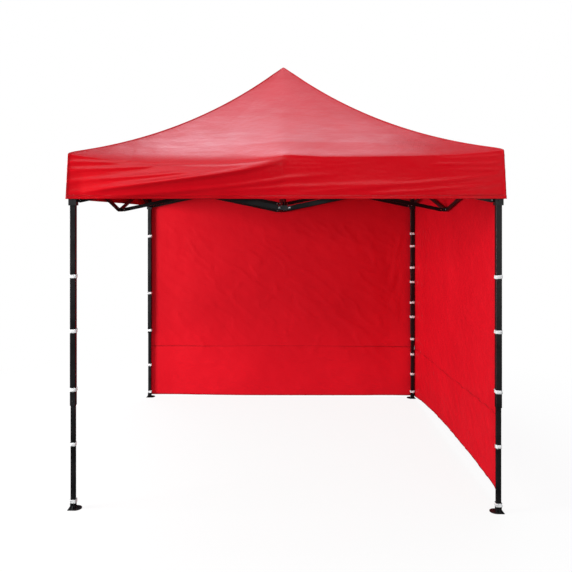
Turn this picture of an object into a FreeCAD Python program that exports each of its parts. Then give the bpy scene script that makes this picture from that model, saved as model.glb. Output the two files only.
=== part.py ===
"""Pop-up gazebo: a folding scissor frame on four telescopic legs, a peaked fabric canopy and two side walls.

Millimetres, +Z up, ground at z = 0, centred on the vertical axis of the gazebo. The front (open) side faces
-Y, the left side (open) faces -X, and the two fabric walls hang on the back (+Y) and the right (+X).
"""
import FreeCAD, Part
import math
import os
import re

os.makedirs("parts", exist_ok=True)
doc = FreeCAD.newDocument("pop_up_gazebo")
sheet = doc.addObject("Spreadsheet::Sheet", "dims")

DRIVING = {
    # frame plan: distance of the leg axes and side trusses from the centre, and the brackets' pin offsets
    "frame_half": 1475, "leg_reach": 45, "side_reach": 36, "radial_reach": 36, "hub_reach": 45,
    # scissors: span between a bar's end pins, and the height difference between them
    "scissor_span": 1394, "scissor_drop": 294,
    "leg_pin_height": 2390, "slider_pin_height": 2150, "side_low_height": 2096, "side_high_height": 2444,
    # scissor bars: flat rectangular tube with a round-nosed plastic plug at each end
    "bar_depth": 32, "bar_thickness": 15, "bar_wall": 1, "bar_offset": 8.5, "tube_end": 4, "plug_length": 18,
    "pin_radius": 4, "hole_radius": 4.06, "rivet_head_radius": 7, "rivet_head_height": 1.5,
    # forks of the brackets
    "fork_plate": 2, "fork_gap": 16, "fork_height": 24, "fork_root": 1,
    # brackets
    "side_block_half": 18.5, "side_block_height": 34, "hub_block_half": 24, "hub_block_height": 36,
    "cap_half": 24, "cap_low": 2342, "cap_high": 2450,
    "sleeve_half": 27.5, "sleeve_bore_half": 20.3, "sleeve_low": 2114, "sleeve_high": 2178,
    # slider lock: push button in a pocket of the sleeve
    "lock_height": 22, "lock_width": 16, "lock_depth": 6, "lock_proud": 4, "lock_root": 1,
    "lock_clearance": 0.3,
    # legs
    "outer_half": 20, "outer_low": 720, "outer_high": 2440, "leg_wall": 1.2, "outer_corner": 4,
    "inner_half": 16, "inner_low": 6, "inner_high": 1000, "inner_corner": 3,
    "guide_height": 18, "guide_bore_half": 16.3, "button_height": 750, "button_radius": 4,
    "button_hole_radius": 4.08, "button_hole_depth": 4.8, "button_tip": 23.5,
    "button_flange_radius": 6, "button_flange": 2,
    # feet
    "foot_thickness": 4, "foot_back": 30, "foot_radius": 44, "foot_lobe": 16, "socket_half": 19,
    "socket_height": 52, "peg_hole_radius": 5, "peg_hole_in": 24, "peg_hole_across": 30,
    "rib_height": 34, "rib_foot": 42, "rib_half": 2,
    # centre pole
    "pole_radius": 12.5, "pole_wall": 1.2, "pole_low": 2126, "pole_high": 3356, "pole_bore_radius": 13,
    "pole_cap_radius": 24, "pole_cap_low": 3345,
    # canopy: square plan, concave roof, nearly upright valance all round
    "cloth": 2, "eave_overlap": 6, "eave_half": 1501, "eave_height": 2490, "peak_height": 3390,
    "roof_hollow": 114, "valance_low": 2158, "valance_half": 1514, "hip_gap": 0.7,
    # side walls
    "wall_offset": 1498, "wall_half": 1436, "wall_high": 2425, "back_wall_low": 20,
    "right_wall_rear_low": 20, "right_wall_front_low": 82,
}


def put(row, word, number):
    """Write a plain number in column A and give its cell an alias."""
    sheet.set("A%d" % row, repr(number))
    sheet.setAlias("A%d" % row, word)


for row, (word, number) in enumerate(DRIVING.items(), 1):
    put(row, word, number)

# The roof panel follows a circle whose centre lies outside and above it, so that the roof is hollow.
chord = math.hypot(DRIVING["eave_half"], DRIVING["peak_height"] - DRIVING["eave_height"])
roof_radius = chord ** 2 / (8 * DRIVING["roof_hollow"]) + DRIVING["roof_hollow"] / 2
stand_off = roof_radius - DRIVING["roof_hollow"]
DERIVED = {
    "bar_length": math.hypot(DRIVING["scissor_span"], DRIVING["scissor_drop"]),
    # share of a bar on the leg (or hub) side of its crossing
    "crossing_share": (DRIVING["leg_pin_height"] - DRIVING["slider_pin_height"])
    / (2 * DRIVING["scissor_drop"]),
    "roof_radius": roof_radius,
    "roof_centre_out": DRIVING["eave_half"] / 2
    + stand_off * (DRIVING["peak_height"] - DRIVING["eave_height"]) / chord,
    "roof_centre_up": (DRIVING["peak_height"] + DRIVING["eave_height"]) / 2
    + stand_off * DRIVING["eave_half"] / chord,
}
for row, (word, number) in enumerate(DERIVED.items(), len(DRIVING) + 2):
    put(row, word, number)
doc.recompute()

WORD = re.compile(r"[a-z][a-z_]*")
TURN = {
    "y": FreeCAD.Rotation(FreeCAD.Vector(1, 0, 0), -90),
    "z": FreeCAD.Rotation(),
}
nodes = []


def value(word):
    return float(sheet.get(word))


def bind(thing, prop, text):
    """Bind a property to an expression written with the sheet's aliases."""
    thing.setExpression(prop, WORD.sub(lambda found: "dims." + found.group(0), text))


def place(thing, base):
    for axis, text in zip("xyz", base):
        if text != "0":
            bind(thing, "Placement.Base." + axis, text)


def block(name, size, low):
    """A box from its three sizes and its lowest corner, as expressions."""
    solid = doc.addObject("Part::Box", name)
    for prop, text in zip(("Length", "Width", "Height"), size):
        bind(solid, prop, text)
    place(solid, low)
    return solid


def rod(name, radius, length, axis, start):
    """A cylinder that runs along an axis from its start."""
    solid = doc.addObject("Part::Cylinder", name)
    bind(solid, "Radius", radius)
    bind(solid, "Height", length)
    solid.Placement = FreeCAD.Placement(FreeCAD.Vector(), TURN[axis])
    place(solid, start)
    return solid


def wedge(name, low, high, ridge):
    """A box whose far end (highest Y) is narrowed to the ridge: lowest and highest X, then Z."""
    solid = doc.addObject("Part::Wedge", name)
    words = dict(zip(("Xmin", "Ymin", "Zmin"), low))
    words.update(zip(("Xmax", "Ymax", "Zmax"), high))
    words.update(zip(("X2min", "X2max", "Z2min", "Z2max"), ridge))
    for prop, text in words.items():
        bind(solid, prop, text)
    return solid


def cut(name, base, tool):
    made = doc.addObject("Part::Cut", name)
    made.Base, made.Tool = base, tool
    return made


def fuse(name, shapes):
    made = doc.addObject("Part::MultiFuse", name)
    made.Shapes = shapes
    made.Refine = True
    return made


def common(name, shapes):
    made = doc.addObject("Part::MultiCommon", name)
    made.Shapes = shapes
    return made


def turned(name, source, degrees, base=("0", "0", "0")):
    """A copy of some pieces, turned about Z and then moved."""
    copy = doc.addObject("Part::Compound", name)
    copy.Links = source if isinstance(source, list) else [source]
    copy.Placement = FreeCAD.Placement(
        FreeCAD.Vector(), FreeCAD.Rotation(FreeCAD.Vector(0, 0, 1), degrees)
    )
    place(copy, base)
    return copy


def node(label, pieces, placement=None):
    """A sub-part of the gazebo: separate solids that move as one."""
    made = doc.addObject("Part::Compound", label)
    made.Label = label
    made.Links = pieces
    made.Placement = placement or FreeCAD.Placement()
    nodes.append(made)


def rounded(name, half, low, high, corner):
    """An upright square bar with rounded long edges."""
    body = block(name + "_square", (half + "*2", half + "*2", high + "-" + low),
                 ("-" + half, "-" + half, low))
    doc.recompute()
    made = doc.addObject("Part::Fillet", name)
    made.Base = body
    upright = [
        number for number, edge in enumerate(body.Shape.Edges, 1)
        if abs(edge.tangentAt(edge.FirstParameter).z) > 0.99
    ]
    made.Edges = [(number, corner, corner) for number in upright]
    return made


# ---------------------------------------------------------------- scissor bars

def bar_plug(name, pin, side):
    """End plug: a round nose outside the tube and a tongue inside it. side is -1 at the start, 1 at the end.
    """
    inner = ("plug_length + tube_end", "bar_thickness - 2*bar_wall", "bar_depth - 2*bar_wall")
    tongue_low = {-1: "-tube_end", 1: pin + " - plug_length"}[side]
    nose_low = {-1: "-bar_depth/2", 1: pin + " + tube_end"}[side]
    tongue = block(name + "_tongue", inner,
                   (tongue_low, "bar_wall - bar_thickness/2", "bar_wall - bar_depth/2"))
    disc = rod(name + "_disc", "bar_depth/2", "bar_thickness", "y", (pin, "-bar_thickness/2", "0"))
    window = block(
        name + "_window", ("bar_depth/2 - tube_end", "bar_thickness", "bar_depth"),
        (nose_low, "-bar_thickness/2", "-bar_depth/2"),
    )
    nose = common(name + "_nose", [disc, window])
    hole = rod(name + "_hole", "hole_radius", "bar_thickness", "y", (pin, "-bar_thickness/2", "0"))
    return cut(name, fuse(name + "_blank", [tongue, nose]), hole)


def scissor_bar():
    """Bar along X from its leg (or hub) pin at 0 to its side pin, with the crossing hole between."""
    outer = block(
        "tube_outer", ("bar_length + 2*tube_end", "bar_thickness", "bar_depth"),
        ("-tube_end", "-bar_thickness/2", "-bar_depth/2"),
    )
    inner = block(
        "tube_inner", ("bar_length + 2*tube_end", "bar_thickness - 2*bar_wall", "bar_depth - 2*bar_wall"),
        ("-tube_end", "bar_wall - bar_thickness/2", "bar_wall - bar_depth/2"),
    )
    holes = [
        rod("tube_hole_%d" % number, "hole_radius", "bar_thickness", "y", (at, "-bar_thickness/2", "0"))
        for number, at in enumerate(("0", "bar_length*crossing_share", "bar_length"))
    ]
    tube = cut("bar_tube", cut("bar_hollow", outer, inner), fuse("tube_holes", holes))
    return [tube, bar_plug("start_plug", "0", -1), bar_plug("end_plug", "bar_length", 1)]


def rivet(name, low, length, at):
    """A rivet along Y through walls that start at low, with a head outside each."""
    shank = rod(name + "_shank", "pin_radius", length, "y", (at, low, "0"))
    near = rod(name + "_near", "rivet_head_radius", "rivet_head_height", "y",
               (at, low + " - rivet_head_height", "0"))
    far = rod(name + "_far", "rivet_head_radius", "rivet_head_height", "y",
              (at, low + " + " + length, "0"))
    return fuse(name, [shank, near, far])


bar = scissor_bar()
# The two bars of a scissor lie either side of its plane, bar_offset from it.
crossing_rivet = rivet(
    "crossing_rivet", "0 - 2*bar_offset - bar_thickness/2", "(2*bar_offset + bar_thickness)",
    "bar_length*crossing_share",
)

# ---------------------------------------------------------------- brackets

def fork(name, reach, base, plane):
    """Two plates that point along X from a bracket, and their rivet. plane is the Y place of their bar."""
    plates = []
    for number, edge in enumerate(("-fork_gap/2 - fork_plate", "fork_gap/2")):
        label = "%s_plate_%d" % (name, number)
        low = plane + " + (" + edge + ")"
        arm = block(label + "_arm", (reach + " - " + base, "fork_plate", "fork_height"),
                    (base, low, "-fork_height/2"))
        tip = rod(label + "_tip", "fork_height/2", "fork_plate", "y", (reach, low, "0"))
        plates += [arm, tip]
    hole = rod(name + "_hole", "pin_radius", "fork_gap + 2*fork_plate", "y",
               (reach, plane + " - fork_gap/2 - fork_plate", "0"))
    pin = rivet(name + "_rivet", "(" + plane + " - fork_gap/2 - fork_plate)",
                "(fork_gap + 2*fork_plate)", reach)
    return cut(name, fuse(name + "_plates", plates), hole), pin


OUT, IN = "bar_offset", "0 - bar_offset"


def bracket(name, body, forks, height):
    """A body with forks around it. Each fork is (reach, base, plane, direction in degrees)."""
    plates, pins = [body], []
    for number, (reach, base, plane, degrees) in enumerate(forks):
        label = "%s_fork_%d" % (name, number)
        ears, pin = fork(label, reach, base, plane)
        plates.append(turned(label + "_set", ears, degrees, ("0", "0", height)))
        pins.append(turned(label + "_pin_set", pin, degrees, ("0", "0", height)))
    return [fuse(name, plates)] + pins


def hub(name, plane, bore):
    cube = block(
        name + "_cube", ("2*hub_block_half", "2*hub_block_half", "hub_block_height"),
        ("-hub_block_half", "-hub_block_half", "-hub_block_height/2"),
    )
    hole = rod(name + "_bore", bore, "hub_block_height", "z", ("0", "0", "-hub_block_height/2"))
    forks = [("hub_reach", "hub_block_half - fork_root", plane, quarter * 90) for quarter in range(4)]
    return bracket(name, cut(name + "_body", cube, hole), forks, "0")


def side_bracket(name, outward_plane, along_plane, radial_plane):
    """Mid-side bracket, with +X outward: two forks along the side truss and one inward for the peak bar."""
    cube = block(
        name + "_cube", ("2*side_block_half", "2*side_block_half", "side_block_height"),
        ("-side_block_half", "-side_block_half", "-side_block_height/2"),
    )
    forks = [
        ("side_reach", "side_block_half - fork_root", outward_plane, 90),
        ("side_reach", "side_block_half - fork_root", along_plane, -90),
        ("radial_reach", "side_block_half - fork_root", radial_plane, 180),
    ]
    return bracket(name, cube, forks, "0")


upper_hub = hub("upper_hub_block", OUT, "pole_bore_radius")
lower_hub = hub("lower_hub_block", IN, "pole_radius")
side_low = side_bracket("side_low_block", IN, OUT, IN)
side_high = side_bracket("side_high_block", OUT, IN, OUT)

# ---------------------------------------------------------------- legs, drawn for the front left corner

def outer_leg():
    """Outer tube, its top bracket and the guide insert at its lower end."""
    corner = value("outer_corner")
    shell = cut(
        "outer_tube_shell", rounded("outer_tube_round", "outer_half", "outer_low", "outer_high", corner),
        rounded("outer_tube_hollow", "(outer_half - leg_wall)", "outer_low", "outer_high",
                corner - value("leg_wall")),
    )
    hole = rod("outer_button_hole", "button_hole_radius", "button_hole_depth", "y",
               ("0", "-outer_half - leg_wall", "button_height"))
    tube = cut("outer_tube", shell, hole)
    guide = cut(
        "guide_insert",
        rounded("guide_round", "(outer_half - leg_wall)", "outer_low", "(outer_low + guide_height)",
                corner - value("leg_wall")),
        rounded("guide_bore", "guide_bore_half", "outer_low", "(outer_low + guide_height)",
                value("inner_corner")),
    )
    cap_solid = block("cap_solid", ("2*cap_half", "2*cap_half", "cap_high - cap_low"),
                      ("-cap_half", "-cap_half", "cap_low"))
    cap_bore = rounded("cap_bore", "outer_half", "cap_low", "outer_high", corner)
    forks = [
        ("leg_reach", "cap_half - fork_root", IN, 0),
        ("leg_reach", "cap_half - fork_root", OUT, 90),
    ]
    cap = bracket("top_bracket", cut("cap_body", cap_solid, cap_bore), forks, "leg_pin_height")
    return [tube, guide] + cap


def slider():
    """Sleeve that slides on the outer tube, with a pocket for its lock button."""
    solid = block("sleeve_solid", ("2*sleeve_half", "2*sleeve_half", "sleeve_high - sleeve_low"),
                  ("-sleeve_half", "-sleeve_half", "sleeve_low"))
    bore = block("sleeve_bore", ("2*sleeve_bore_half", "2*sleeve_bore_half", "sleeve_high - sleeve_low"),
                 ("-sleeve_bore_half", "-sleeve_bore_half", "sleeve_low"))
    pocket = block(
        "lock_pocket",
        ("lock_depth", "lock_width + 2*lock_clearance", "lock_height + 2*lock_clearance"),
        ("-sleeve_half", "-lock_width/2 - lock_clearance",
         "(sleeve_low + sleeve_high - lock_height)/2 - lock_clearance"),
    )
    forks = [
        ("leg_reach", "sleeve_half - fork_root", OUT, 0),
        ("leg_reach", "sleeve_half - fork_root", IN, 90),
    ]
    body = cut("sleeve_body", solid, fuse("sleeve_hollows", [bore, pocket]))
    return bracket("sleeve", body, forks, "slider_pin_height")


def slider_lock():
    """Push button that stands out of the sleeve's pocket and travels into it along +X."""
    return [block(
        "lock_button", ("lock_proud + lock_root", "lock_width", "lock_height"),
        ("-sleeve_half - lock_proud", "-lock_width/2", "(sleeve_low + sleeve_high - lock_height)/2"),
    )]


def inner_leg():
    corner = value("inner_corner")
    shell = cut(
        "inner_tube_shell", rounded("inner_tube_round", "inner_half", "inner_low", "inner_high", corner),
        rounded("inner_tube_hollow", "(inner_half - leg_wall)", "inner_low", "inner_high",
                corner - value("leg_wall")),
    )
    hole = rod("inner_button_hole", "button_hole_radius", "button_hole_depth", "y",
               ("0", "-inner_half - leg_wall", "button_height"))
    return cut("inner_tube", shell, hole)


def foot():
    """Plate with a straight outer edge and one round lobe along +X, two peg holes, a socket and two ribs."""
    lobe = rod("foot_lobe_disc", "foot_radius", "foot_thickness", "z", ("foot_lobe", "0", "0"))
    plate = block("foot_plate", ("foot_back + foot_lobe", "2*foot_radius", "foot_thickness"),
                  ("-foot_back", "-foot_radius", "0"))
    ribs = []
    for number, degrees in enumerate((0, 180)):
        rib = wedge("foot_rib_%d" % number, ("0-rib_half", "0", "0"), ("rib_half", "rib_foot", "rib_height"),
                    ("0-rib_half", "rib_half", "0", "foot_thickness"))
        ribs.append(turned("foot_rib_set_%d" % number, rib, degrees))
    socket = rounded("foot_socket", "socket_half", "foot_thickness/2", "socket_height",
                     value("outer_corner"))
    bore = rounded("foot_bore", "inner_half", "inner_low", "socket_height", value("inner_corner"))
    pegs = [
        rod("peg_hole_%d" % number, "peg_hole_radius", "foot_thickness", "z", ("peg_hole_in", across, "0"))
        for number, across in enumerate(("-peg_hole_across", "peg_hole_across"))
    ]
    blank = fuse("foot_blank", [lobe, plate, socket] + ribs)
    return cut("foot_bored", blank, fuse("foot_holes", [bore] + pegs))


def snap_button():
    """Spring button through both tubes, with a flange inside the inner tube, pointing along -Y."""
    stem = rod("button_stem", "button_radius", "button_tip - inner_half + leg_wall", "y",
               ("0", "-button_tip", "button_height"))
    flange = rod("button_flange", "button_flange_radius", "button_flange", "y",
                 ("0", "leg_wall - inner_half", "button_height"))
    return [fuse("snap_button", [stem, flange])]


outer_pieces = outer_leg()
slider_pieces = slider()
lock_pieces = slider_lock()
inner_tube = inner_leg()
foot_drawn = foot()
# Every lobe points along the front of the gazebo, towards its middle.
FOOT = {0: foot_drawn, 90: turned("turned_foot", foot_drawn, 90)}
button_pieces = snap_button()

# ---------------------------------------------------------------- centre pole

pole = cut(
    "pole_tube", rod("pole_outer", "pole_radius", "pole_high - pole_low", "z", ("0", "0", "pole_low")),
    rod("pole_inner", "pole_radius - pole_wall", "pole_high - pole_low", "z", ("0", "0", "pole_low")),
)
ball = doc.addObject("Part::Sphere", "pole_cap_ball")
bind(ball, "Radius", "pole_cap_radius")
place(ball, ("0", "0", "pole_cap_low"))
dome_window = block("pole_cap_window", ("2*pole_cap_radius", "2*pole_cap_radius", "pole_cap_radius"),
                    ("-pole_cap_radius", "-pole_cap_radius", "pole_cap_low"))
pole_seat = rod("pole_cap_bore", "pole_radius", "pole_high - pole_cap_low", "z", ("0", "0", "pole_cap_low"))
pole_cap = cut("pole_cap", common("pole_cap_dome", [ball, dome_window]), pole_seat)

# ---------------------------------------------------------------- fabric, drawn for the right side

def roof_panel():
    """One of four triangular roof panels with its valance, between the two hips."""
    outer = rod("roof_outer", "roof_radius + cloth", "2*valance_half", "y",
                ("roof_centre_out", "-valance_half", "roof_centre_up"))
    inner = rod("roof_inner", "roof_radius", "2*valance_half", "y",
                ("roof_centre_out", "-valance_half", "roof_centre_up"))
    sector = wedge("roof_sector", ("0-eave_half", "0-eave_half", "eave_height - eave_overlap"),
                   ("eave_half", "0-hip_gap", "peak_height"),
                   ("0", "0", "eave_height - eave_overlap", "peak_height"))
    roof = common("roof_sheet", [cut("roof_shell", outer, inner), turned("roof_sector_set", sector, 90)])
    frustums = []
    for name, inset in (("valance_outer", "0"), ("valance_inner", "cloth")):
        frustum = wedge(name, ("%s - valance_half" % inset, "valance_low", "%s - valance_half" % inset),
                        ("valance_half - %s" % inset, "eave_height", "valance_half - %s" % inset),
                        ("%s - eave_half" % inset, "eave_half - %s" % inset,
                         "%s - eave_half" % inset, "eave_half - %s" % inset))
        frustum.Placement = FreeCAD.Placement(FreeCAD.Vector(), FreeCAD.Rotation(FreeCAD.Vector(1, 0, 0), 90))
        frustums.append(frustum)
    reach = "(valance_half + eave_half)"
    slice_wedge = wedge("valance_sector", ("0-" + reach, "0-" + reach, "valance_low"),
                        (reach, "0-hip_gap", "eave_height"), ("0", "0", "valance_low", "eave_height"))
    ring = cut("valance_ring", *frustums)
    valance = common("valance_sheet", [ring, turned("valance_sector_set", slice_wedge, 90)])
    return fuse("panel_sheet", [roof, valance])


def wall(name, rear_low, front_low):
    """A flat wall along Y at x = 0, whose lower edge rises from the rear low to the front low."""
    return wedge(name, ("0", "0-wall_half", front_low), ("cloth", "wall_half", "wall_high"),
                 ("0", "cloth", rear_low, "wall_high"))


panel = roof_panel()
back_sheet = wall("back_wall_sheet", "back_wall_low", "back_wall_low")
right_sheet = wall("right_wall_sheet", "right_wall_rear_low", "right_wall_front_low")

# ---------------------------------------------------------------- assembly

UP = FreeCAD.Vector(0, 0, 1)
SIDES = {"front": -90, "right": 0, "back": 90, "left": 180}
# the two halves of each side truss, named by the end of that side that they lead to
HALVES = {
    "front": ("right", "left"), "right": ("rear", "front"),
    "back": ("left", "right"), "left": ("front", "rear"),
}
CORNERS = {"front_left": 0, "front_right": 90, "rear_right": 180, "rear_left": 270}
HALF = value("frame_half")
HEIGHT = {
    "leg": value("leg_pin_height"), "slider": value("slider_pin_height"),
    "low": value("side_low_height"), "high": value("side_high_height"),
}


def spin(degrees, base=FreeCAD.Vector()):
    return FreeCAD.Placement(base, FreeCAD.Rotation(UP, degrees))


def along(start, end, normal):
    """The placement that lays a bar's X along start to end and its Y along the normal."""
    ahead = (end - start).normalize()
    return FreeCAD.Placement(start, FreeCAD.Rotation(ahead, normal, ahead.cross(normal), "XYZ"))


def side_point(outward, across, degrees, height):
    """A point given by its distance outward from the centre and across to the left of that direction."""
    return FreeCAD.Rotation(UP, degrees).multVec(FreeCAD.Vector(outward, across, height))


def scissor(label, upper, lower, normal):
    """The upper bar hangs from the leg (or hub) pin, the lower bar stands on the slider (or lower hub)."""
    offset = normal * value("bar_offset")
    upper_place = along(upper[0] + offset, upper[1] + offset, normal)
    lower_place = along(lower[0] - offset, lower[1] - offset, normal)
    node(label + "_upper_bar", bar + [crossing_rivet], upper_place)
    node(label + "_lower_bar", bar, lower_place)


node("upper_hub", upper_hub, spin(0, UP * HEIGHT["leg"]))
node("centre_pole", [turned("lower_hub_set", lower_hub, 0, ("0", "0", "slider_pin_height")), pole, pole_cap])

for side, degrees in SIDES.items():
    outward = side_point(1, 0, degrees, 0)
    leftward = side_point(0, 1, degrees, 0)
    near, far = value("hub_reach"), HALF - value("radial_reach")
    scissor(
        side + "_peak",
        [side_point(near, 0, degrees, HEIGHT["leg"]), side_point(far, 0, degrees, HEIGHT["low"])],
        [side_point(near, 0, degrees, HEIGHT["slider"]), side_point(far, 0, degrees, HEIGHT["high"])],
        leftward,
    )
    for half, sign in zip(HALVES[side], (1, -1)):
        by_leg = sign * (HALF - value("leg_reach"))
        by_middle = sign * value("side_reach")
        scissor(
            "%s_truss_%s" % (side, half),
            [side_point(HALF, by_leg, degrees, HEIGHT["leg"]),
             side_point(HALF, by_middle, degrees, HEIGHT["low"])],
            [side_point(HALF, by_leg, degrees, HEIGHT["slider"]),
             side_point(HALF, by_middle, degrees, HEIGHT["high"])],
            outward,
        )
    node(side + "_lower_side_bracket", side_low, spin(degrees, side_point(HALF, 0, degrees, HEIGHT["low"])))
    node(side + "_upper_side_bracket", side_high, spin(degrees, side_point(HALF, 0, degrees, HEIGHT["high"])))
    node(side + "_roof_panel", [panel], spin(degrees))

for corner, degrees in CORNERS.items():
    at = spin(degrees, FreeCAD.Rotation(UP, degrees).multVec(FreeCAD.Vector(-HALF, -HALF, 0)))
    node(corner + "_outer_leg", outer_pieces, at)
    node(corner + "_slider", slider_pieces, at)
    node(corner + "_slider_lock", lock_pieces, at)
    node(corner + "_inner_leg", [inner_tube, FOOT[degrees % 180]], at)
    node(corner + "_snap_button", button_pieces, at)

for side, sheet_solid in (("back", back_sheet), ("right", right_sheet)):
    degrees = SIDES[side]
    node(side + "_wall", [sheet_solid], spin(degrees, side_point(value("wall_offset"), 0, degrees, 0)))

# ---------------------------------------------------------------- check and export

doc.recompute()
for thing in doc.Objects:
    if "Invalid" in thing.State or "Error" in thing.State:
        raise SystemExit("failed feature: %s %s" % (thing.Name, thing.State))
for made in nodes:
    if made.Shape.isNull() or not made.Shape.isValid():
        raise SystemExit("bad shape: " + made.Label)
for made in nodes:
    made.Shape.exportStep("parts/%s.step" % made.Label)
print("wrote %d sub-parts" % len(nodes))
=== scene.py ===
"""Looks of the pop-up gazebo: fabric canopy and walls, straps, rivet heads, materials, stage and camera.

Metres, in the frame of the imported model: +Z up, ground at z = 0, the open front faces -Y.
"""
import math
import random

import bpy
import numpy as np
from mathutils import Matrix, Vector, noise


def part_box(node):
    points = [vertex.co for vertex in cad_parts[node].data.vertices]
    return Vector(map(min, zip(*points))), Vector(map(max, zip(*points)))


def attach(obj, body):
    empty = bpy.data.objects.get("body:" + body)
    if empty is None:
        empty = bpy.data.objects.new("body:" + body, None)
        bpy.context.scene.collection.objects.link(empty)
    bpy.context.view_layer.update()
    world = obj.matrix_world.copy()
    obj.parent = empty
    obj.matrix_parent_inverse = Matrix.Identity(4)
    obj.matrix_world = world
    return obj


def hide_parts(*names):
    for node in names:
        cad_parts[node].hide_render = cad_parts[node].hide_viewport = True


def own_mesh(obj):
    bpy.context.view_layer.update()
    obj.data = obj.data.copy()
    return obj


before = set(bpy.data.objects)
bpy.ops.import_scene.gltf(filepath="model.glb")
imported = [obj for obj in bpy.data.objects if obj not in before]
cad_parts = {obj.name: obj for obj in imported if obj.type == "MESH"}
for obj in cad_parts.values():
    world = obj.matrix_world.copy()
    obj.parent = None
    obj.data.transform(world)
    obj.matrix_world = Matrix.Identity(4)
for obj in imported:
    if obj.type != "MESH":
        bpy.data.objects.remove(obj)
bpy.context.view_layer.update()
random.seed(7)
noise.seed_set(7)

# ---------------------------------------------------------------- driving dimensions

# the snap buttons sit on the middle line of their leg
BUTTON_LOW, BUTTON_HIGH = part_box("front_left_snap_button")
FRAME_HALF = -(BUTTON_LOW.x + BUTTON_HIGH.x) / 2
CANOPY_LOW, CANOPY_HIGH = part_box("front_roof_panel")
VALANCE_HALF = CANOPY_HIGH.x
VALANCE_LOW = CANOPY_LOW.z
PEAK_Z = CANOPY_HIGH.z
EAVE_HALF = 1.501
EAVE_Z = 2.490
RISE = PEAK_Z - EAVE_Z
HOLLOW = 0.532            # how far the hips hang below a straight line, as the factor of t(1 - t)
EAVE_SAG = 0.036          # how far the eave hangs between its corners
BRACKET_LIFT = 0.0145     # how far the side bracket lifts it again in the middle
BRACKET_WIDTH = 0.14
RIDGE = 0.026             # height of the faint ridge from the bracket up the panel
EAVE_TILT = 0.010         # the canopy sits a little higher on the right
EAVE_ROUND = 0.008        # rounding of the eave, and how far in it starts
ROUND_WIDTH = 0.018
EAVE_DROOP = 0.034        # slack cloth rolls over the eave on one half of each side
DROOP_DEPTH = 0.05
SLACK_ROOF = 0.0075       # loose waves near the corners, and small creases
CREASE_ROOF = 0.0009
ROLL = 0.086              # how far the slack half of the front valance stands out
QUIET_ROLL = 0.4          # the share of the roll, and of the droop, that the other sides have
QUIET_DROOP = 0.35
TIP_RADIUS = 0.022
TIP_BLUNT = 0.004
TIP_RAISE = 0.004
TIP_SHIFT = 0.012
CLOTH = 0.0012
HEM = 0.025
HEM_RISE = 0.0012


def middle(node):
    low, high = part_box(node)
    return (Vector(low) + Vector(high)) / 2


LEG_PIN_Z = middle("upper_hub").z
SIDE_LOW_Z = middle("front_lower_side_bracket").z
SIDE_HIGH_Z = middle("front_upper_side_bracket").z
DROP = LEG_PIN_Z - SIDE_LOW_Z
SLIDER_PIN_Z = SIDE_HIGH_Z - DROP
LEG_REACH, SIDE_REACH, HUB_REACH = 0.045, 0.036, 0.045
BAR_OFFSET = 0.0085
FORK_FACE = 0.0115        # from a fork's plane to the face of its rivet heads
CROSSING_FACE = 0.0175
OUTER_HALF, INNER_HALF, SOCKET_HALF = 0.020, 0.016, 0.019
SOCKET_HIGH = 0.052
OUTER_LOW = 0.720

SIDES = {"front": -90, "right": 0, "back": 90, "left": 180}
ENDS = {
    "front": ("right", "left"), "right": ("rear", "front"),
    "back": ("left", "right"), "left": ("front", "rear"),
}
CORNERS = {"front_left": 0, "front_right": 90, "rear_right": 180, "rear_left": 270}


def turn(degrees):
    return Matrix.Rotation(math.radians(degrees), 3, "Z")


# ---------------------------------------------------------------- materials

def material(name, **sockets):
    """A Principled material whose constant sockets are set by name."""
    made = bpy.data.materials.new(name)
    made.use_nodes = True
    shader = made.node_tree.nodes["Principled BSDF"]
    for socket, number in sockets.items():
        shader.inputs[socket.replace("_", " ")].default_value = number
    return made, made.node_tree.nodes, made.node_tree.links, shader


def texture_noise(nodes, links, where, scale, detail=3.0, stretch=(1, 1, 1)):
    """Noise over a vector output, stretched per axis. Returns its factor output."""
    mapping = nodes.new("ShaderNodeMapping")
    mapping.inputs["Scale"].default_value = stretch
    links.new(where, mapping.inputs["Vector"])
    made = nodes.new("ShaderNodeTexNoise")
    made.inputs["Scale"].default_value = scale
    made.inputs["Detail"].default_value = detail
    links.new(mapping.outputs["Vector"], made.inputs["Vector"])
    return made.outputs["Fac"]


def mapped(nodes, links, source, low, high, out_low, out_high):
    made = nodes.new("ShaderNodeMapRange")
    links.new(source, made.inputs["Value"])
    for socket, number in zip(("From Min", "From Max", "To Min", "To Max"), (low, high, out_low, out_high)):
        made.inputs[socket].default_value = number
    return made.outputs["Result"]


def maths(nodes, links, kind, first, second=None):
    made = nodes.new("ShaderNodeMath")
    made.operation = kind
    for socket, term in zip(made.inputs, (first, second)):
        if isinstance(term, (int, float)):
            socket.default_value = term
        elif term is not None:
            links.new(term, socket)
    return made.outputs["Value"]


def bumps(nodes, links, shader, layers):
    """Chains bump layers of (height, strength, distance)."""
    normal = None
    for height, strength, distance in layers:
        bump = nodes.new("ShaderNodeBump")
        bump.inputs["Strength"].default_value = strength
        bump.inputs["Distance"].default_value = distance
        links.new(height, bump.inputs["Height"])
        if normal is not None:
            links.new(normal, bump.inputs["Normal"])
        normal = bump.outputs["Normal"]
    links.new(normal, shader.inputs["Normal"])


def ramp(nodes, links, source, dark, light, low=0.3, high=0.7):
    made = nodes.new("ShaderNodeValToRGB")
    made.color_ramp.elements[0].position = low
    made.color_ramp.elements[0].color = (*dark, 1)
    made.color_ramp.elements[1].position = high
    made.color_ramp.elements[1].color = (*light, 1)
    links.new(source, made.inputs["Fac"])
    return made.outputs["Color"]


def vary_roughness(nodes, links, shader, source, less, more):
    """Lets the roughness wander round the value its socket has."""
    centre = shader.inputs["Roughness"].default_value
    rough = mapped(nodes, links, source, 0.3, 0.7, centre - less, centre + more)
    links.new(rough, shader.inputs["Roughness"])


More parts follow.
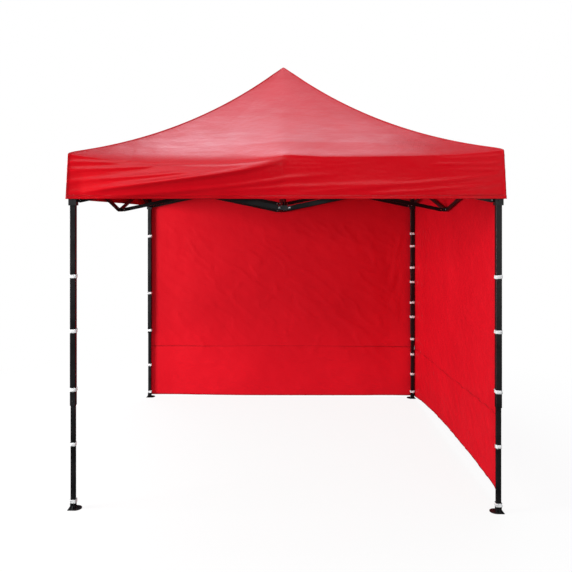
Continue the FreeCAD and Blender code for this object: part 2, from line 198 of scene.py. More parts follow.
STITCH_LENGTH = 0.0045
STITCH_ROWS = (0.0035, 0.0095)
THREADS_SCALE = 260


def fabric(name, dark, light, thread_and_seam_shadow, **sockets):
    """Coated woven polyester: weave, small creases, stitched seams and hems, and painted shadow along each
    seam, hem and edge.
    """
    made, nodes, links, shader = material(name, **sockets)
    where = nodes.new("ShaderNodeTexCoord").outputs["Object"]
    patches = texture_noise(nodes, links, where, 1.7, 4.0)
    colour = ramp(nodes, links, patches, dark, light)
    # stitches: dashes along the lines at a set distance from a seam or hem
    seam = nodes.new("ShaderNodeAttribute")
    seam.attribute_name = "seam"
    along = nodes.new("ShaderNodeAttribute")
    along.attribute_name = "along"
    beat = maths(nodes, links, "MULTIPLY", along.outputs["Fac"], 2 * math.pi / STITCH_LENGTH)
    dash = mapped(nodes, links, maths(nodes, links, "SINE", beat), -0.5, -0.2, 0, 1)
    rows = []
    for at in STITCH_ROWS:
        off = maths(nodes, links, "ABSOLUTE", maths(nodes, links, "SUBTRACT", seam.outputs["Fac"], at))
        rows.append(mapped(nodes, links, off, 0.0004, 0.0008, 1, 0))
    stitch = maths(nodes, links, "MULTIPLY", maths(nodes, links, "MAXIMUM", *rows), dash)
    mix = nodes.new("ShaderNodeMix")
    mix.data_type = "RGBA"
    # painted shadow: a narrow band along each seam, hem and edge is darkened towards the thread colour,
    # standing in for the shade the raised welt casts
    painted_seam_shadow = mapped(nodes, links, seam.outputs["Fac"], 0.0045, 0.0060, 0.55, 0)
    links.new(maths(nodes, links, "MAXIMUM", stitch, painted_seam_shadow), mix.inputs["Factor"])
    links.new(colour, mix.inputs["A"])
    mix.inputs["B"].default_value = (*thread_and_seam_shadow, 1)
    links.new(mix.outputs["Result"], shader.inputs["Base Color"])
    rough = texture_noise(nodes, links, where, 5.0, 3.0)
    vary_roughness(nodes, links, shader, rough, 0.05, 0.06)
    # weave: crossed threads drawn from two wave sets
    weave = []
    for axis in ("X", "Y", "Z"):
        wave = nodes.new("ShaderNodeTexWave")
        wave.bands_direction = axis
        wave.inputs["Scale"].default_value = THREADS_SCALE
        links.new(where, wave.inputs["Vector"])
        weave.append(wave.outputs["Fac"])
    threads = maths(nodes, links, "ADD", maths(nodes, links, "ADD", weave[0], weave[1]), weave[2])
    creases = texture_noise(nodes, links, where, 9.0, 6.0)
    fine = texture_noise(nodes, links, where, 34.0, 4.0)
    bumps(nodes, links, shader, [(creases, 0.35, 0.012), (fine, 0.22, 0.004), (stitch, 0.6, 0.0006),
                                 (threads, 0.12, 0.0004)])
    return made


def coated_metal(name, colour, wear, **sockets):
    """Powder coat: orange-peel skin, dust in patches and paint rubbed thin in small spots."""
    made, nodes, links, shader = material(name, **sockets)
    where = nodes.new("ShaderNodeTexCoord").outputs["Object"]
    patches = texture_noise(nodes, links, where, 6.0, 5.0)
    lighter = tuple(2.2 * part for part in colour)
    base = ramp(nodes, links, patches, colour, lighter, 0.35, 0.8)
    scuffs = texture_noise(nodes, links, where, 60.0, 6.0, (1, 1, 0.12))
    mix = nodes.new("ShaderNodeMix")
    mix.data_type = "RGBA"
    links.new(mapped(nodes, links, scuffs, 0.70, 0.80, 0, 0.5), mix.inputs["Factor"])
    links.new(base, mix.inputs["A"])
    mix.inputs["B"].default_value = (*wear, 1)
    links.new(mix.outputs["Result"], shader.inputs["Base Color"])
    vary_roughness(nodes, links, shader, patches, 0.06, 0.1)
    peel = texture_noise(nodes, links, where, 420.0, 2.0)
    bumps(nodes, links, shader, [(peel, 0.25, 0.0006)])
    return made


def moulded(name, colour, **sockets):
    """Moulded plastic with a fine grain."""
    made, nodes, links, shader = material(name, **sockets)
    where = nodes.new("ShaderNodeTexCoord").outputs["Object"]
    patches = texture_noise(nodes, links, where, 12.0, 4.0)
    lighter = tuple(1.9 * part for part in colour)
    links.new(ramp(nodes, links, patches, colour, lighter), shader.inputs["Base Color"])
    vary_roughness(nodes, links, shader, patches, 0.05, 0.08)
    grain = texture_noise(nodes, links, where, 900.0, 2.0)
    bumps(nodes, links, shader, [(grain, 0.3, 0.0004)])
    return made


def zinc(name, colour, **sockets):
    """Zinc plate: spangled grey with fine turning marks."""
    made, nodes, links, shader = material(name, **sockets)
    where = nodes.new("ShaderNodeTexCoord").outputs["Object"]
    spangle = texture_noise(nodes, links, where, 300.0, 3.0)
    darker = tuple(0.6 * part for part in colour)
    links.new(ramp(nodes, links, spangle, darker, colour), shader.inputs["Base Color"])
    bumps(nodes, links, shader, [(spangle, 0.2, 0.0003)])
    return made


def webbing(name, colour, dirt, **sockets):
    """Hook-and-loop strap: woven pile with a little dirt."""
    made, nodes, links, shader = material(name, **sockets)
    where = nodes.new("ShaderNodeTexCoord").outputs["Object"]
    marks = texture_noise(nodes, links, where, 38.0, 5.0)
    links.new(ramp(nodes, links, marks, dirt, colour, 0.32, 0.5), shader.inputs["Base Color"])
    pile = texture_noise(nodes, links, where, 700.0, 3.0)
    rib = nodes.new("ShaderNodeTexWave")
    rib.bands_direction = "Z"
    rib.inputs["Scale"].default_value = 120
    links.new(where, rib.inputs["Vector"])
    bumps(nodes, links, shader, [(rib.outputs["Fac"], 0.4, 0.0006), (pile, 0.5, 0.0008)])
    return made


# the third colour is the thread's, and also the colour of the painted seam shadow
CANOPY = fabric(
    "canopy_polyester", (0.53, 0.0004, 0.0055), (0.58, 0.0008, 0.0075), (0.30, 0.001, 0.003), Roughness=0.33,
    Specular_IOR_Level=0.12,
)
WALL = fabric(
    "wall_polyester", (0.63, 0.0045, 0.0135), (0.70, 0.006, 0.016), (0.28, 0.003, 0.006), Roughness=0.5,
    Specular_IOR_Level=0.08,
)
PAINT = coated_metal("satin_powder_coat", (0.0045, 0.0045, 0.0050), (0.05, 0.05, 0.052), Roughness=0.42,
                     Specular_IOR_Level=0.35)
PLASTIC = moulded("moulded_plastic", (0.006, 0.006, 0.0065), Roughness=0.5, Specular_IOR_Level=0.45)
ZINC = zinc("zinc_plate", (0.72, 0.73, 0.75), Metallic=1.0, Roughness=0.32)
STRAP = webbing("strap_pile", (0.80, 0.81, 0.82), (0.42, 0.42, 0.43), Roughness=0.85, Specular_IOR_Level=0.3,
                Sheen_Weight=0.4, Sheen_Roughness=0.6)

SLOT_MATERIAL = {
    "canopy_fabric": CANOPY, "wall_fabric": WALL, "black_paint": PAINT, "black_plastic": PLASTIC,
    "bare_steel": ZINC, "strap_webbing": STRAP,
}
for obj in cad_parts.values():
    for slot in obj.material_slots:
        word = slot.material.name.split(".")[0]
        slot.material = SLOT_MATERIAL.get(word, PAINT)

# ---------------------------------------------------------------- mesh helpers

def mesh_piece(name, points, faces, look, body):
    """A smooth-shaded piece that rides on a body."""
    mesh = bpy.data.meshes.new(name)
    mesh.from_pydata([tuple(p) for p in points], [], faces)
    mesh.validate()
    for polygon in mesh.polygons:
        polygon.use_smooth = True
    obj = bpy.data.objects.new(name, mesh)
    bpy.context.scene.collection.objects.link(obj)
    mesh.materials.append(look)
    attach(obj, body)
    return obj


def cloth_piece(name, rows, seams, alongs, look, body):
    """A sheet from rows of points of one length, each with its seam distance and its place along the seam."""
    count = len(rows[0])
    points = [p for row in rows for p in row]
    faces = []
    for r in range(len(rows) - 1):
        for c in range(count - 1):
            first = r * count + c
            faces.append((first, first + 1, first + count + 1, first + count))
    obj = mesh_piece(name, points, faces, look, body)
    for word, values in (("seam", seams), ("along", alongs)):
        attribute = obj.data.attributes.new(word, "FLOAT", "POINT")
        attribute.data.foreach_set("value", np.array(values, np.float32).ravel())
    thick = obj.modifiers.new("cloth", "SOLIDIFY")
    thick.thickness = CLOTH
    thick.offset = -1
    return obj


def fold(x, z, line, width):
    """How much of a straight fold a point has: 1 on its line, none past its ends or beyond its width."""
    (x0, z0), (x1, z1) = line
    dx, dz = x1 - x0, z1 - z0
    share = ((x - x0) * dx + (z - z0) * dz) / (dx * dx + dz * dz)
    off = abs((x - x0) * dz - (z - z0) * dx) / math.hypot(dx, dz)
    ends = min(1, max(0, 1.25 - abs(share - 0.5) * 2.5) * 2)
    return math.exp(-(off / width) ** 2) * ends


# ---------------------------------------------------------------- canopy

def roof_height(x, y):
    """Height of the canopy's top sheet. One function for all four sides, so that they meet at the hips."""
    out = max(abs(x), abs(y), 1e-6)
    across = min(abs(x), abs(y)) / out
    up = 1 - out / EAVE_HALF
    z = EAVE_Z + RISE * up - HOLLOW * up * (1 - up)
    z += EAVE_TILT * x / EAVE_HALF + TIP_RAISE * max(0, up) ** 8
    # the eave hangs between the corners, and the side bracket holds it up in the middle
    sag = EAVE_SAG * (1 - across ** 6) - BRACKET_LIFT * math.exp(-(across / BRACKET_WIDTH) ** 2)
    z -= sag * (1 - up) ** 5
    # from that bracket a faint ridge runs up the panel
    hand = x if abs(y) >= abs(x) else y
    tent = max(0, 1 - across / 0.55) if hand < 0 else max(0, 1 - (across / 0.85) ** 2)
    z += RIDGE * tent * (1 - up) ** 0.7 * min(1, up * 6) * min(1, up * 6)
    # slack cloth droops over the eave on one half of the side
    if hand < 0:
        at_front = y < 0 and abs(y) >= abs(x)
        amount = EAVE_DROOP if at_front else QUIET_DROOP * EAVE_DROOP
        z -= amount * math.sin(math.pi * across ** 0.75) * math.exp(-up / DROOP_DEPTH)
    # rolled edge towards the valance
    z -= EAVE_ROUND * math.exp(-(EAVE_HALF - out) / ROUND_WIDTH)
    # small creases along the eave, and slack cloth near the corners
    side_along, side_out = (x, y) if abs(y) >= abs(x) else (y, x)
    crease = noise.noise(Vector((side_along * 3.1, side_out * 24, 1.7)))
    crease += 0.5 * noise.noise(Vector((side_along * 7.3, side_out * 50, 4.1)))
    z += CREASE_ROOF * crease * (1 - across ** 6) * min(1, up * 12) * min(1, (1 - up) * 3)
    slack = noise.noise(Vector((side_along * 1.9 + 5, side_out * 8.5, 8.3)))
    slack += 0.5 * noise.noise(Vector((side_along * 4.4 + 9, side_out * 21, 2.3)))
    z += SLACK_ROOF * slack * across ** 1.5 * (1 - across ** 10) * (1 - up) ** 2 * min(1, up * 7)
    # rounded tip over the pole cap
    radius = math.hypot(x, y)
    if radius < 2 * TIP_RADIUS:
        z = min(z, PEAK_Z + TIP_RAISE - TIP_BLUNT - radius ** 2 / (4.5 * TIP_RADIUS))
    return z


def lean_to_side(point):
    """The tip stands a little to the right of the middle, as the cloth is pulled over the frame."""
    up = 1 - max(abs(point.x), abs(point.y)) / EAVE_HALF
    point.x += TIP_SHIFT * max(0, up) ** 1.5


VALANCE_HEIGHT = EAVE_Z - VALANCE_LOW
# Folds of the front valance: a line from (across, height above the hem) to another, how far the fold
# stands out, and how wide it is. They fan out from the lower left corner, where the slack cloth is pulled.
FRONT_FOLDS = (
    ((-1.58, 0.262), (-1.02, 0.340), 0.0085, 0.013),
    ((-1.58, 0.205), (-0.85, 0.305), 0.0100, 0.015),
    ((-1.58, 0.120), (-0.50, 0.270), 0.0110, 0.017),
    ((-1.58, 0.030), (0.05, 0.305), 0.0150, 0.022),
    ((-1.42, -0.01), (0.40, 0.200), 0.0080, 0.020),
    ((-0.60, 0.060), (0.90, 0.130), 0.0055, 0.017),
    ((0.05, 0.045), (1.58, 0.180), 0.0060, 0.016),
    ((0.55, 0.035), (1.58, 0.112), 0.0050, 0.012),
    ((1.05, 0.312), (1.58, 0.296), 0.0065, 0.011),
    ((1.00, 0.268), (1.58, 0.242), 0.0060, 0.010),
    ((1.12, 0.222), (1.58, 0.196), 0.0055, 0.010),
)


def side_folds(side):
    """The front has its own folds, and the other sides vary them."""
    if side == "front":
        return FRONT_FOLDS
    flip = random.choice((-1, 1))
    made = []
    for (x0, z0), (x1, z1), proud, width in FRONT_FOLDS:
        shift = random.uniform(-0.03, 0.03)
        size = random.uniform(0.7, 1.1)
        made.append(((flip * x0, z0 + shift), (flip * x1 * size, z1 + shift), proud * size, width))
    return made


VALANCE_WAVE = 0.0060
VALANCE_RIPPLE = 0.0012
HEM_WAVE = 0.0030


def valance_stand(across, height, side, folds):
    """How far a point of the valance stands out from its flat slope."""
    stand = sum(proud * fold(across, height, (start, end), width) for start, end, proud, width in folds)
    # slack cloth on one half rolls over the eave, above a line down to the lower corner
    hand = 1 if folds[0][0][0] < 0 else -1
    reach = max(0, -across * hand) / VALANCE_HALF
    line = VALANCE_HEIGHT * (0.97 - 0.90 * min(1, reach))
    if height > line:
        roll = (VALANCE_HEIGHT - height) / max(0.02, VALANCE_HEIGHT - line)
    else:
        roll = height / max(0.02, line)
    slack = ROLL if side == "front" else QUIET_ROLL * ROLL
    stand += slack * math.sin(min(1, reach ** 0.9 * 1.06) * math.pi) * min(1, roll) ** 0.8
    wave = noise.noise(Vector((across * 2.1, height * 6, 3 + SIDES[side])))
    stand += VALANCE_WAVE * wave * min(1, height / 0.05)
    stand += VALANCE_RIPPLE * noise.noise(Vector((across * 7, height * 62, 6 + SIDES[side])))
    hem_wave = math.sin(across * 4.3 + SIDES[side]) + 0.6 * math.sin(across * 10.9 + 1)
    stand += HEM_WAVE * hem_wave * (1 - min(1, height / 0.2))
    corner = max(0, 1 - abs(VALANCE_HALF - abs(across)) / 0.06)
    return stand * (1 - corner ** 2) * min(1, (VALANCE_HEIGHT - height) / 0.035)


def across_places(half):
    """Places across a row of that half width: even in the middle, and closer at each end for the welt."""
    edge = min(WELT_EDGE, 0.3 * half)
    shares = (0, 0.10, 0.20, 0.30, 0.42, 0.60, 0.80)
    left = [-half + edge * share for share in shares]
    even = [(half - edge) * (2 * c / CANOPY_COLUMNS - 1) for c in range(CANOPY_COLUMNS + 1)]
    return left + even + [-place for place in reversed(left)]


CANOPY_COLUMNS = 140
ROOF_ROWS = 92
ROW_SPREAD = 1.12
NEAR_EAVE = (0, 0.002, 0.005, 0.010, 0.018)
VALANCE_ROW = 0.0085
WELT_EDGE = 0.030
WELT_REACH = 0.0085
WELT_RISE = 0.0060


def welt(gap):
    """The piped seam that runs down every hip and corner."""
    return WELT_RISE * math.sqrt(max(0, 1 - (gap / WELT_REACH) ** 2))


def canopy_side(side, folds):
    """One side of the canopy, as one sheet from its hem over the eave to the tip."""
    rotate = turn(SIDES[side])
    rows, seams, alongs = [], [], []
    # rows lie closer together round the stitches, the hem's edge and the eave
    heights = [0, 0.002, 0.0035, 0.006, 0.0095, 0.013, 0.021, HEM - 0.0012, HEM, HEM + 0.002]
    heights += list(np.arange(HEM + 0.009, VALANCE_HEIGHT - 0.014, VALANCE_ROW))
    heights += [VALANCE_HEIGHT - gap for gap in (0.010, 0.005, 0.002)]
    for height in heights:
        share = height / VALANCE_HEIGHT
        half = VALANCE_HALF + (EAVE_HALF - VALANCE_HALF) * share
        row = []
        for across in across_places(half):
            gap = half - abs(across)
            stand = valance_stand(across, height, side, folds) + HEM_RISE * (height < HEM)
            stand += 0.7 * welt(gap)
            # at the very corner both sides share one edge, so they stand out along the diagonal
            slide = 0.7 * welt(gap) * math.copysign(1, across) if gap < WELT_REACH else 0
            slide *= 1 - gap / WELT_REACH
            point = rotate @ Vector((half + stand, across + slide, 0))
            edge = rotate @ Vector((EAVE_HALF, across / half * EAVE_HALF, 0))
            point.z = VALANCE_LOW + (roof_height(edge.x, edge.y) - VALANCE_LOW) * share
            row.append(point)
            seams.append(min(height if height < HEM / 2 else abs(HEM - height), gap + 0.001))
            alongs.append(across)
        rows.append(row)
    spread = [1 - (1 - r / ROOF_ROWS) ** ROW_SPREAD for r in range(1, ROOF_ROWS + 1)]
    first = NEAR_EAVE[-1] / EAVE_HALF
    for up in [gap / EAVE_HALF for gap in NEAR_EAVE] + [first + u * (1 - first) for u in spread]:
        half = max(EAVE_HALF * (1 - up), 0.0003)
        row = []
        for across in across_places(half):
            gap = half - abs(across)
            point = rotate @ Vector((half, across, 0))
            point.z = roof_height(point.x, point.y) + welt(gap) * min(1, half / 0.1)
            lean_to_side(point)
            row.append(point)
            seams.append(gap + 0.001)
            alongs.append(1.5 * half)
        rows.append(row)
    name = side + "_canopy"
    obj = cloth_piece(name, rows, seams, alongs, CANOPY, side + "_roof_panel")
    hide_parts(side + "_roof_panel")
    return obj


for side in SIDES:
    sheet = canopy_side(side, side_folds(side))
    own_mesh(sheet)

# ---------------------------------------------------------------- walls

WALL_EDGE = 1.468         # where a wall ends behind a leg
WALL_FRONT = 1.444        # where the right wall ends, hidden behind the front leg
WALL_CORNER = 1.5035      # where the two walls meet behind the rear right leg
WALL_HIGH = 2.425
WALL_OUT = 1.5045         # how far the walls hang from the middle
WALL_ROWS = 132
WALL_COLUMNS = 164
LOCK_Z = 2.133            # the slider lock, which the wall bulges over


def smooth(number, low, high):
    share = min(1, max(0, (number - low) / (high - low)))
    return share * share * (3 - 2 * share)


RELIEF_BIAS, RELIEF_INWARD = 0.010, 0.003
HOLLOW_DEPTH = 0.024
PULL_DEPTH, CROSS_DEPTH, FINE_DEPTH, SHARP_DEPTH = 0.0060, 0.0042, 0.0016, 0.0060
SHARP_WIDTH = 0.12
EDGE_CREASE = 0.0075
SEAM_RISE, SEAM_HALF = 0.0030, 0.010
LOCK_RISE, LOCK_REACH = 0.0060, 0.028
CREASES_LOW, CREASES_HIGH = 0.75, 1.95


def wall_relief(across, height, start, creased):
    """Shallow hollows, diagonal pulls and fine creases of a hanging wall, mostly outward."""
    hollows = RELIEF_BIAS + HOLLOW_DEPTH * noise.noise(Vector((across * 0.75, height * 0.8, start)))
    pulls = PULL_DEPTH * noise.noise(Vector((across * 2.4 + height * 1.3, height * 3.1, start + 3)))
    pulls += CROSS_DEPTH * noise.noise(Vector(((across + height) * 2.6, (across - height) * 9, start + 6)))
    fine = Vector(((across - 0.5 * height) * 7, (height + 0.3 * across) * 24, start + 9))
    pulls += FINE_DEPTH * noise.noise(fine)
    sharp = abs(noise.noise(Vector(((across + 0.7 * height) * 2.2, (height - 0.6 * across) * 7, start + 12))))
    pulls -= SHARP_DEPTH * max(0, SHARP_WIDTH - sharp) / SHARP_WIDTH
    return max(-RELIEF_INWARD, hollows + creased * pulls)


def edge_creases(across, height, near, low, high):
    """Tight upright creases next to one end of a wall, fading out towards two heights."""
    share = smooth(0.42 - abs(across - near), 0, 0.30)
    share *= smooth(height, low, low + 0.3) * smooth(high - height, 0, 0.3)
    return EDGE_CREASE * share * noise.noise(Vector((across * 17 + height * 3, height * 4.5, 41)))


def wall(side, left_end, right_end, lower_edge, seam_height, start, creased, near):
    """A wall hung between two legs, from one end to the other. lower_edge and seam_height are functions."""
    rotate = turn(SIDES[side])
    rows, seams, alongs = [], [], []
    for r in range(WALL_ROWS + 1):
        row = []
        for c in range(WALL_COLUMNS + 1):
            across = left_end + (right_end - left_end) * c / WALL_COLUMNS
            low = lower_edge(across)
            height = low + (WALL_HIGH - low) * r / WALL_ROWS
            # the relief fades out next to the legs and behind the truss
            free = smooth(FRAME_HALF - abs(across), 0.02, 0.30) * (1 - 0.85 * smooth(height, 1.85, 2.05))
            stand = wall_relief(across, height, start, creased) * free
            stand += edge_creases(across, height, near, CREASES_LOW, CREASES_HIGH) * min(1, 3 * free)
            gap = abs(height - seam_height(across))
            stand += SEAM_RISE * math.exp(-(gap / SEAM_HALF) ** 2)
            near_lock = math.hypot(abs(across) - FRAME_HALF, height - LOCK_Z)
            stand += LOCK_RISE * math.exp(-(near_lock / LOCK_REACH) ** 2)
            point = rotate @ Vector((WALL_OUT + stand, across, 0))
            point.z = height
            row.append(point)
            side_gap = min(across - left_end, right_end - across)
            seams.append(min(gap, abs(height - low), side_gap))
            alongs.append(height if side_gap < 0.02 else across)
        rows.append(row)
    body = side + "_upper_side_bracket"
    return cloth_piece(side + "_wall_cloth", rows, seams, alongs, WALL, body)


def forward(across):
    """0 at the rear leg of the right side, 1 at its front leg."""
    return (WALL_CORNER - across) / (WALL_CORNER + WALL_FRONT)


RIGHT_LOW, RIGHT_CLIMB, RIGHT_BOW = 0.014, 0.068, 0.062
RIGHT_SEAM, SEAM_CLIMB = 0.551, 0.071
BACK_LOW, BACK_WAVE = 0.016, 0.004
BACK_SEAM = 0.567


def right_low(across):
    """The lower edge of the right wall is pulled up into a bow between its legs."""
    along = forward(across)
    return RIGHT_LOW + RIGHT_CLIMB * along + RIGHT_BOW * 4 * along * (1 - along)


def right_seam(across):
    return RIGHT_SEAM + SEAM_CLIMB * forward(across)


def back_low(across):
    return BACK_LOW - BACK_WAVE * math.cos(across * 2.1)


def back_seam(across):
    return BACK_SEAM


back_wall = wall("back", -WALL_CORNER, WALL_EDGE, back_low, back_seam, 11, 0.55, -WALL_CORNER)
right_wall = wall("right", -WALL_FRONT, WALL_CORNER, right_low, right_seam, 29, 0.80, -WALL_FRONT)
for side, piece, edge in (("back", back_wall, WALL_EDGE), ("right", right_wall, WALL_FRONT)):
    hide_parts(side + "_wall")
    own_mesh(piece)

# ---------------------------------------------------------------- straps round the legs

# heights of the straps on each leg; the rear right leg holds the ends of both walls
STRAP_HEIGHTS = {
    "front_left": (1.62, 1.24, 0.83, 0.45, 0.053),
    "front_right": (1.62, 1.24, 0.83, 0.45, 0.050),
    "rear_left": (1.81, 1.17, 0.75, 0.36, 0.060),
    "rear_right": (1.84, 1.70, 1.46, 1.30, 1.07, 0.91, 0.66, 0.49, 0.27, 0.073),
}
STRAP_WIDTH = 0.025
STRAP_THICK = 0.0018
STRAP_GAP = 0.0012
STRAP_BEND = 0.006        # radius round the leg's corners
STRAP_SPIRAL = 0.085      # how much the last turn stands off the first
STRAP_STEP = 0.0042
STRAP_PROFILE = (
    (-0.5, 0), (-0.46, 1), (-0.2, 1.15), (0.2, 1.15), (0.46, 1), (0.5, 0), (0.44, -0.1), (-0.44, -0.1),
)


def strap(name, corner, height, body, half):
    """A strap wound round a square leg, with a free end that stands off a corner."""
    tilt = random.uniform(-0.09, 0.09)
    lean = random.uniform(0, 2 * math.pi)
    gap = half + STRAP_GAP
    path = []
    for quarter in range(5):
        for step in range(5):
            angle = math.radians(quarter * 90 + step * 22.5)
            bend = Vector((math.cos(angle), math.sin(angle))) * STRAP_BEND
            centre = turn(quarter * 90).to_2x2() @ Vector((gap - STRAP_BEND, gap - STRAP_BEND))
            layer = 1 + STRAP_SPIRAL * (quarter * 5 + step) / 24
            path.append((centre + bend) * layer)
    ahead = (path[-1] - path[-2]).normalized()
    away = Vector((ahead.y, -ahead.x))
    for step in range(1, 5):
        path.append(path[-1] + (ahead + away * 0.16 * step).normalized() * STRAP_STEP)
    where = turn(CORNERS[corner]) @ Vector((-FRAME_HALF, -FRAME_HALF, 0))
    points = []
    for i, spot in enumerate(path):
        before, after = path[max(0, i - 1)], path[min(len(path) - 1, i + 1)]
        ahead = (after - before).normalized()
        away = Vector((ahead.y, -ahead.x))
        sway = tilt * (spot.x * math.cos(lean) + spot.y * math.sin(lean))
        for across, thick in STRAP_PROFILE:
            flat = spot + away * thick * STRAP_THICK
            points.append((where.x + flat.x, where.y + flat.y, height + across * STRAP_WIDTH + sway))
    ring = len(STRAP_PROFILE)
    faces = []
    for i in range(len(path) - 1):
        for k in range(ring):
            a, b = i * ring + k, i * ring + (k + 1) % ring
            faces.append((a, b, b + ring, a + ring))
    faces.append(tuple(range(ring))[::-1])
    faces.append(tuple(range((len(path) - 1) * ring, len(path) * ring)))
    return mesh_piece(name, points, faces, STRAP, body)


for corner, heights in STRAP_HEIGHTS.items():
    for number, height in enumerate(heights):
        body, half = corner + "_inner_leg", INNER_HALF
        if height > OUTER_LOW:
            body, half = corner + "_outer_leg", OUTER_HALF
        elif height < SOCKET_HIGH + STRAP_WIDTH:
            half = SOCKET_HALF
        strap("%s_strap_%d" % (corner, number), corner, height, body, half)

# ---------------------------------------------------------------- rivet heads

RIVET_RADIUS = 0.0064
RIVET_RISE = 0.0026
RIVET_SIDES = 20


def rivet_heads(name, spots, body):
    """Domed heads at a list of (point, direction), as one piece."""
    points, faces = [], []
    rings = [(1, 0), (1, 0.25), (0.9, 0.62), (0.68, 0.86), (0.36, 0.97)]
    for spot, facing in spots:
        facing = facing.normalized()
        first = Vector((0, 0, 1)).cross(facing).normalized()
        second = facing.cross(first)
        base = len(points)
        for reach, rise in rings:
            for k in range(RIVET_SIDES):
                angle = 2 * math.pi * k / RIVET_SIDES
                round_it = (first * math.cos(angle) + second * math.sin(angle)) * RIVET_RADIUS * reach
                points.append(spot + round_it + facing * RIVET_RISE * rise)
        points.append(spot + facing * RIVET_RISE)
        for r in range(len(rings) - 1):
            for k in range(RIVET_SIDES):
                a = base + r * RIVET_SIDES + k
                b = base + r * RIVET_SIDES + (k + 1) % RIVET_SIDES
                faces.append((a, b, b + RIVET_SIDES, a + RIVET_SIDES))
        last = base + (len(rings) - 1) * RIVET_SIDES
        for k in range(RIVET_SIDES):
            faces.append((last + k, last + (k + 1) % RIVET_SIDES, len(points) - 1))
        faces.append(tuple(base + k for k in range(RIVET_SIDES))[::-1])
    return mesh_piece(name, points, faces, ZINC, body)


def fork_spots(base, degrees, reach, plane, facing):
    """Both rivet faces of a fork that points in a direction from a bracket."""
    rotate = turn(degrees + facing)
    return [
        (base + rotate @ Vector((reach, plane + side * FORK_FACE, 0)), rotate @ Vector((0, side, 0)))
        for side in (-1, 1)
    ]


OUT, IN = BAR_OFFSET, -BAR_OFFSET
for corner, degrees in CORNERS.items():
    base = turn(degrees) @ Vector((-FRAME_HALF, -FRAME_HALF, 0))
    upper = base + Vector((0, 0, LEG_PIN_Z))
    lower = base + Vector((0, 0, SLIDER_PIN_Z))
    spots = fork_spots(upper, degrees, LEG_REACH, IN, 0) + fork_spots(upper, degrees, LEG_REACH, OUT, 90)
    rivet_heads(corner + "_cap_rivets", spots, corner + "_outer_leg")
    spots = fork_spots(lower, degrees, LEG_REACH, OUT, 0) + fork_spots(lower, degrees, LEG_REACH, IN, 90)
    rivet_heads(corner + "_slider_rivets", spots, corner + "_slider")
for side, degrees in SIDES.items():
    base = turn(degrees) @ Vector((FRAME_HALF, 0, 0))
    low, high = base + Vector((0, 0, SIDE_LOW_Z)), base + Vector((0, 0, SIDE_HIGH_Z))
    spots = fork_spots(low, degrees, SIDE_REACH, IN, 90) + fork_spots(low, degrees, SIDE_REACH, OUT, -90)
    spots += fork_spots(low, degrees, SIDE_REACH, IN, 180)
    rivet_heads(side + "_lower_bracket_rivets", spots, side + "_lower_side_bracket")
    spots = fork_spots(high, degrees, SIDE_REACH, OUT, 90) + fork_spots(high, degrees, SIDE_REACH, IN, -90)
    spots += fork_spots(high, degrees, SIDE_REACH, OUT, 180)
    rivet_heads(side + "_upper_bracket_rivets", spots, side + "_upper_side_bracket")
# the upper bar of each scissor carries the rivet of its crossing
CROSSING_SHARE = (LEG_PIN_Z - SLIDER_PIN_Z) / (2 * DROP)
for side, degrees in SIDES.items():
    outward, leftward = turn(degrees) @ Vector((1, 0, 0)), turn(degrees) @ Vector((0, 1, 0))
    crossing_z = LEG_PIN_Z - DROP * CROSSING_SHARE
    start, end = HUB_REACH, FRAME_HALF - SIDE_REACH
    place = outward * (start + (end - start) * CROSSING_SHARE) + Vector((0, 0, crossing_z))
    spots = [(place + leftward * face, leftward * face) for face in (-CROSSING_FACE, CROSSING_FACE)]
    rivet_heads(side + "_peak_crossing_rivets", spots, side + "_peak_upper_bar")
    for end_name, sign in zip(ENDS[side], (1, -1)):
        start, end = FRAME_HALF - LEG_REACH, SIDE_REACH
        along = sign * (start + (end - start) * CROSSING_SHARE)
        place = outward * FRAME_HALF + leftward * along + Vector((0, 0, crossing_z))
        spots = [(place + outward * face, outward * face) for face in (-CROSSING_FACE, CROSSING_FACE)]
        name = "%s_truss_%s" % (side, end_name)
        rivet_heads(name + "_crossing_rivets", spots, name + "_upper_bar")
for body, height, plane in (("upper_hub", LEG_PIN_Z, OUT), ("centre_pole", SLIDER_PIN_Z, IN)):
    spots = []
    for quarter in range(4):
        spots += fork_spots(Vector((0, 0, height)), quarter * 90, HUB_REACH, plane, 0)
    rivet_heads(body + "_rivets", spots, body)

# ---------------------------------------------------------------- stage, lights, camera

def stage_mesh(name, points, faces, look):
    mesh = bpy.data.meshes.new(name)
    mesh.from_pydata(points, [], faces)
    obj = bpy.data.objects.new(name, mesh)
    bpy.context.scene.collection.objects.link(obj)
    mesh.materials.append(look)
    return obj


FLOOR, floor_nodes, floor_links, floor_shader = material("pale_floor", Roughness=0.9, Specular_IOR_Level=0.1)
floor_shader.inputs["Base Color"].default_value = (0.90, 0.90, 0.90, 1)
floor_place = floor_nodes.new("ShaderNodeTexCoord").outputs["Object"]
floor_length = floor_nodes.new("ShaderNodeVectorMath")
floor_length.operation = "LENGTH"
floor_links.new(floor_place, floor_length.inputs[0])
floor_glow = floor_nodes.new("ShaderNodeEmission")
floor_mix = floor_nodes.new("ShaderNodeMixShader")
fade = mapped(floor_nodes, floor_links, floor_length.outputs["Value"], 2.0, 4.5, 0.88, 1.0)
floor_links.new(fade, floor_mix.inputs["Fac"])
floor_links.new(floor_shader.outputs["BSDF"], floor_mix.inputs[1])
floor_links.new(floor_glow.outputs["Emission"], floor_mix.inputs[2])
floor_links.new(floor_mix.outputs["Shader"], floor_nodes["Material Output"].inputs["Surface"])
FLOOR_HALF = 60
FLOOR_Z = -0.001
floor_corners = [(x * FLOOR_HALF, y * FLOOR_HALF, FLOOR_Z) for x, y in ((-1, -1), (1, -1), (1, 1), (-1, 1))]
floor = stage_mesh("floor", floor_corners, [(0, 1, 2, 3)], FLOOR)
floor.visible_glossy = False
floor.visible_diffuse = False

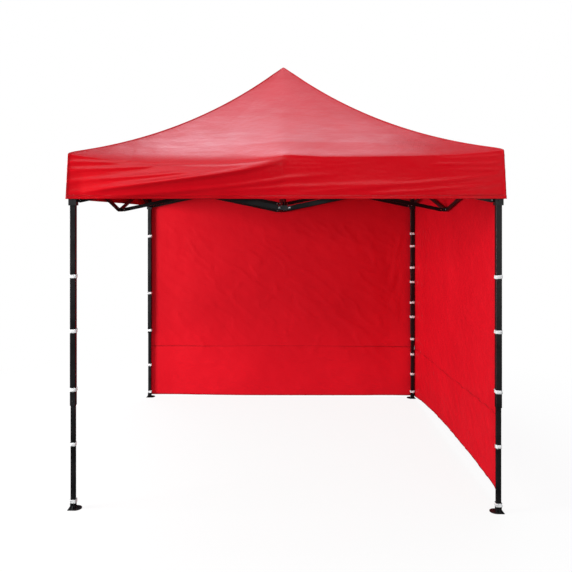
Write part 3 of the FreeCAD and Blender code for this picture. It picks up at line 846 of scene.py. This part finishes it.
world = bpy.data.worlds.new("studio")
bpy.context.scene.world = world
world.use_nodes = True
sky = world.node_tree.nodes["Background"]
sky.inputs["Color"].default_value = (1, 1, 1, 1)
rays = world.node_tree.nodes.new("ShaderNodeLightPath")
strength = world.node_tree.nodes.new("ShaderNodeMapRange")
strength.inputs["To Min"].default_value = 0.36
strength.inputs["To Max"].default_value = 1.0
world.node_tree.links.new(rays.outputs["Is Camera Ray"], strength.inputs["Value"])
world.node_tree.links.new(strength.outputs["Result"], sky.inputs["Strength"])
world.cycles_visibility.glossy = False


def softbox(name, place, target, size, watts, tint=(1, 1, 1), diffuse=True, gloss=True):
    light = bpy.data.lights.new(name, "AREA")
    light.shape = "RECTANGLE"
    light.size, light.size_y = size
    light.energy = watts
    light.color = tint
    obj = bpy.data.objects.new(name, light)
    bpy.context.scene.collection.objects.link(obj)
    obj.location = place
    obj.rotation_euler = (Vector(target) - Vector(place)).to_track_quat("-Z", "Y").to_euler()
    obj.visible_camera = False
    obj.visible_diffuse = diffuse
    obj.visible_glossy = gloss


SKY = (0.98, 0.97, 1.10)
softbox("overhead", (0.0, 3.5, 8.5), (0, 0, 2.6), (10, 8), 560, SKY, gloss=False)
softbox("rear_sky", (0.0, 3.5, 8.4), (0, 0, 2.6), (5.0, 8), 250, SKY, diffuse=False)
softbox("haze", (-1.0, 3.5, 8.3), (0, 0, 2.6), (2.4, 6), 72, SKY, diffuse=False)
softbox("front_sky", (-1.5, -4.0, 8.6), (-1.0, -1.5, 2.4), (7, 5.5), 500, SKY, diffuse=False)
softbox("front_top", (-1.0, -7.0, 7.5), (0, 0, 2.0), (8, 2.5), 300, diffuse=False)
softbox("front_fill", (0.0, -9.0, 5.8), (0, 0, 1.5), (6, 1.5), 330, gloss=False)
softbox("left_side", (-5.6, -2.3, 2.1), (1.4, -0.5, 2.1), (2.0, 1.8), 395)
softbox("right_front", (4.6, -6.5, 1.8), (-1.4, -1.4, 1.2), (1.6, 1.6), 60)
softbox("left_rear", (-4.2, 0.4, 1.7), (0, 1.4, 1.5), (1.4, 1.4), 32)

camera_data = bpy.data.cameras.new("camera")
camera = bpy.data.objects.new("camera", camera_data)
bpy.context.scene.collection.objects.link(camera)
camera.location = (-0.074, -6.244, 2.045)
camera.rotation_euler = (math.radians(90), 0, math.radians(1.09))
camera_data.sensor_width = 36
camera_data.lens = 43.2
camera_data.shift_x = 0.0439
camera_data.shift_y = -0.1236
bpy.context.scene.camera = camera
bpy.context.scene.view_settings.view_transform = "Standard"
